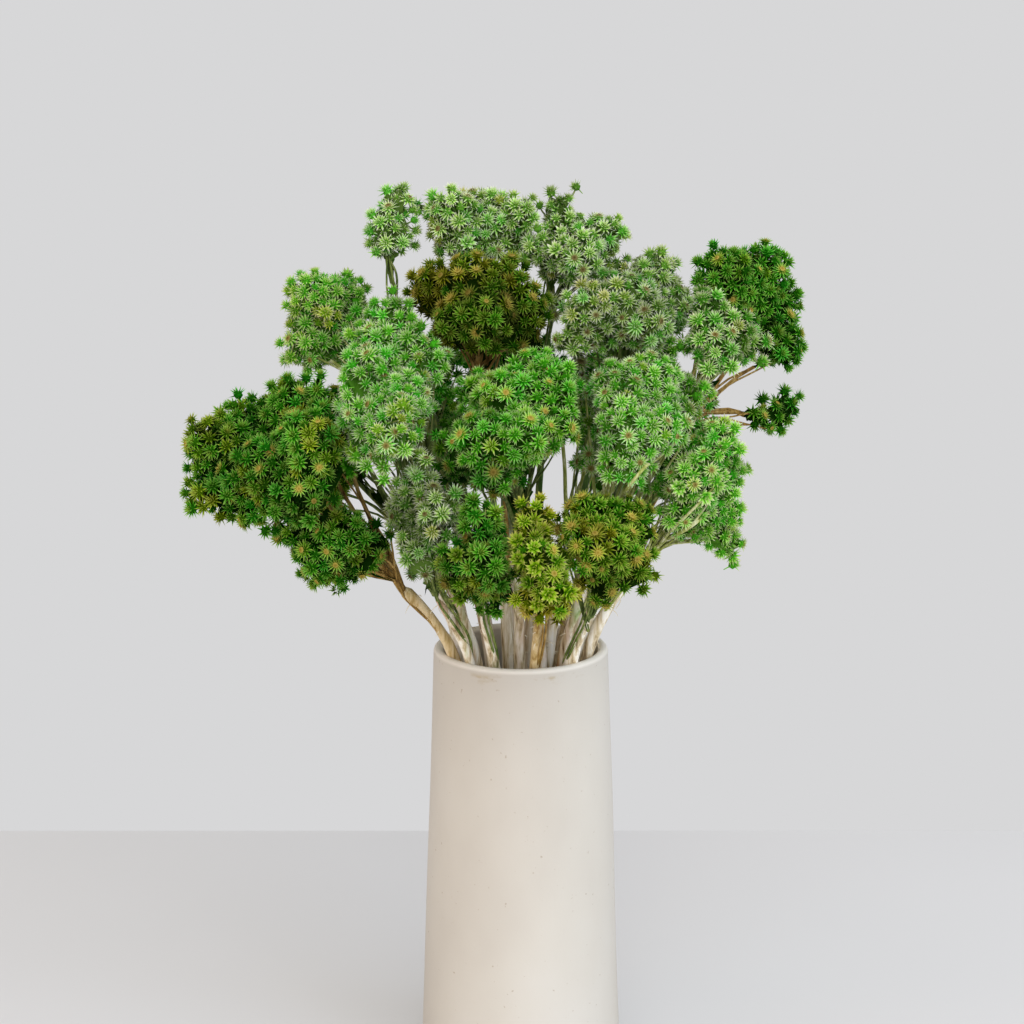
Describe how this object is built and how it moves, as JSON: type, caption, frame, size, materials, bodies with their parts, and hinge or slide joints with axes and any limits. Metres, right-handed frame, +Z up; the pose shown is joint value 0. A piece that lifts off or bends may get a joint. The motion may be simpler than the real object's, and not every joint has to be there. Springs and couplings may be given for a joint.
{
  "type": "dried andean aster in vase",
  "caption": "Tall tapered matte ceramic vase holding a dome of dried, green-dyed andean aster sprays on pale woody stems.",
  "frame": {"origin": "on the vase's axis, in the plane that the vase stands on", "axes": "+Z up along the vase's axis, +Y away from the front that the picture shows, +X to the right of that front"},
  "size_m": [0.3391, 0.2977, 0.5035],
  "materials": {
    "matte_ceramic": "matte",
    "felted_wood": "matte",
    "dark_green_heads": "matte",
    "olive_gold_heads": "matte",
    "mid_green_heads": "matte",
    "mint_heads": "matte",
    "light_green_heads": "matte",
    "sage_heads": "matte",
    "cream_green_heads": "matte",
    "yellow_green_heads": "matte"
  },
  "bodies": {
    "root": {"vase": "matte_ceramic", "cut_stub": "felted_wood", "stem_left_dark": "felted_wood", "spray_left_dark": "dark_green_heads", "stem_back_left_light": "felted_wood", "spray_back_left_light": "light_green_heads", "stem_tall_sage": "felted_wood", "spray_tall_sage": "sage_heads", "stem_top_sage": "felted_wood", "spray_top_sage": "sage_heads", "stem_olive": "felted_wood", "spray_olive": "olive_gold_heads", "stem_peak_sage": "felted_wood", "spray_peak_sage": "sage_heads", "stem_right_sage": "felted_wood", "spray_right_sage": "sage_heads", "stem_left_mint": "felted_wood", "spray_left_mint": "mint_heads", "stem_centre_green": "felted_wood", "spray_centre_green": "mid_green_heads", "stem_right_mint": "felted_wood", "spray_right_mint": "mint_heads", "stem_right_low_light": "felted_wood", "spray_right_low_light": "light_green_heads", "stem_right_dark": "felted_wood", "spray_right_dark": "dark_green_heads", "stem_right_cream": "felted_wood", "spray_right_cream": "cream_green_heads", "stem_low_left_sage": "felted_wood", "spray_low_left_sage": "sage_heads", "stem_low_dark": "felted_wood", "spray_low_dark": "dark_green_heads", "stem_low_yellow": "felted_wood", "spray_low_yellow": "yellow_green_heads", "stem_low_right_olive": "felted_wood", "spray_low_right_olive": "olive_gold_heads", "stem_back_left_green": "felted_wood", "spray_back_left_green": "mid_green_heads", "stem_back_dark": "felted_wood", "spray_back_dark": "dark_green_heads", "stem_back_mint": "felted_wood", "spray_back_mint": "mint_heads", "stem_back_right_light": "felted_wood", "spray_back_right_light": "light_green_heads", "stem_back_left_mid": "felted_wood", "spray_back_left_mid": "mid_green_heads", "stem_left_side_olive": "felted_wood", "spray_left_side_olive": "olive_gold_heads", "stem_right_side_green": "felted_wood", "spray_right_side_green": "mid_green_heads"}
  },
  "joints": []
}
